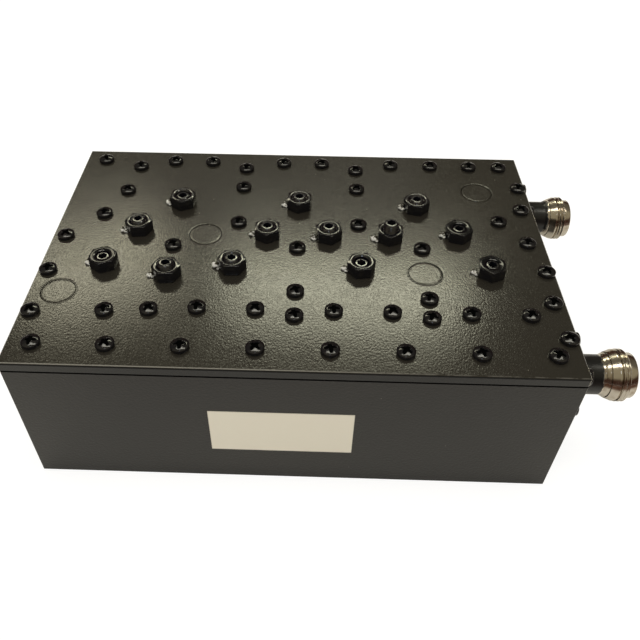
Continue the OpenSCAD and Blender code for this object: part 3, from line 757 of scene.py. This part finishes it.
# Stage: a pale floor that keeps the shadow, and a white background for the camera. What the metal mirrors
# is warm and dim overhead, dark brown low down, and the floor below
stageSet = dict(floor=3.0, pale=(0.82, 0.80, 0.77), far=(0.13, 0.065, 0.045), farFrom=(-105, -150),
                white=0.66, glow=1.27, ambient=(0.50, 0.485, 0.455), overhead=(0.34, 0.30, 0.21),
                behind=(0.125, 0.110, 0.082), low=(0.050, 0.022, 0.014), below=(0.75, 0.73, 0.70))


def makeFloor(s):
    half = s["floor"] / 2
    mesh = bpy.data.meshes.new("floor")
    corners = [(-half, -half, 0), (half, -half, 0), (half, half, 0), (-half, half, 0)]
    mesh.from_pydata(corners, [], [(0, 1, 2, 3)])
    floor = bpy.data.objects.new("floor", mesh)
    bpy.context.scene.collection.objects.link(floor)
    f = Finish("paleFloor")
    # the jacks mirror the floor's far part in a dark red-brown
    start, end = s["farFrom"]
    far = f.y.step(start * mm, end * mm) * f.node("LightPath", output="Is Glossy Ray")
    diffuse = f.node("BsdfDiffuse", {}, {"Color": far.colours(s["pale"], s["far"])})
    glow = f.node("Emission", {}, {"Color": (1, 1, 1, 1), "Strength": s["glow"]})
    camera = f.node("LightPath", output="Is Camera Ray")
    f.close(f.node("MixShader", {}, {0: camera * s["white"], 1: diffuse, 2: glow}))
    mesh.materials.append(f.material)


def makeWorld(s):
    world = bpy.data.worlds.new("studio")
    bpy.context.scene.world = world
    world.use_nodes = True
    world.node_tree.nodes.clear()
    f = Feed(world.node_tree)
    camera, glossy = (f.node("LightPath", output=o) for o in ("Is Camera Ray", "Is Glossy Ray"))
    way = f.node("TexCoord", output="Generated")
    ahead, up = (f.node("SeparateXYZ", {}, {0: way}, i) for i in (1, 2))
    mirrored = ahead.step(-0.15, 0.15).colours(s["overhead"], s["behind"])
    mirrored = up.step(0.34, 0.52).colours(s["low"], mirrored)
    mirrored = up.step(-0.02, 0.0).colours(s["below"], mirrored)
    colour = camera.colours(glossy.colours(s["ambient"], mirrored), (1, 1, 1))
    back = f.node("Background", {}, {"Color": colour, "Strength": 1.0})
    out = world.node_tree.nodes.new("ShaderNodeOutputWorld")
    world.node_tree.links.new(back.socket, out.inputs["Surface"])


# Lamps: the way there from the middle of the shine, by azimuth from the back and by elevation in degrees,
# with distance and size in metres and a glow
lamps = {
    "backSoftbox": dict(azimuth=3.5, elevation=43.1, away=1.8, size=(0.69, 0.18), glow=9.9,
                        colour=(1.0, 0.985, 0.74)),
    "leftSoftbox": dict(azimuth=-26, elevation=38.6, away=1.8, size=(0.42, 0.18), glow=7.0,
                        colour=(1.0, 0.95, 0.70)),
    "farGlow": dict(azimuth=-10, elevation=34.5, away=1.8, size=(1.15, 0.22), glow=0.32,
                    colour=(1.0, 0.97, 0.86)),
    "overheadTube": dict(azimuth=90, elevation=87, away=1.1, size=(1.1, 0.20), glow=6.3,
                         colour=(1.0, 0.97, 0.84)),
    "frontSpark": dict(azimuth=184, elevation=60, away=1.4, size=(0.16, 0.12), glow=6.0,
                       colour=(0.72, 0.82, 1.0)),
    "frontFill": dict(azimuth=215, elevation=30, away=0.8, size=(0.5, 0.4), glow=1.8,
                      colour=(1.0, 0.98, 0.94), mirrored=False),
}
shinePlace = Vector((22, -22, 53)) * mm


def makeLamp(name, s):
    data = bpy.data.lights.new(name, "AREA")
    data.shape = "RECTANGLE"
    data.size, data.size_y = s["size"]
    data.energy, data.color = s["glow"] * math.pi * data.size * data.size_y, s["colour"]
    lamp = bpy.data.objects.new(name, data)
    bpy.context.scene.collection.objects.link(lamp)
    a, e = math.radians(s["azimuth"]), math.radians(s["elevation"])
    way = Vector((math.sin(a) * math.cos(e), math.cos(a) * math.cos(e), math.sin(e)))
    lamp.location = shinePlace + way * s["away"]
    # local X stays level, along the case's width
    across = Vector((1, 0, 0)) - way * way.x if abs(way.z) > 0.9 else Vector((0, 0, 1)).cross(way) * -1
    across.normalize()
    other = way.cross(across)
    lamp.rotation_euler = Matrix((across, other, way)).transposed().to_euler()
    lamp.visible_glossy = s.get("mirrored", True)


makeFloor(stageSet)
makeWorld(stageSet)
for lampName, lampSet in lamps.items():
    makeLamp(lampName, lampSet)
print("stage and lamps made")
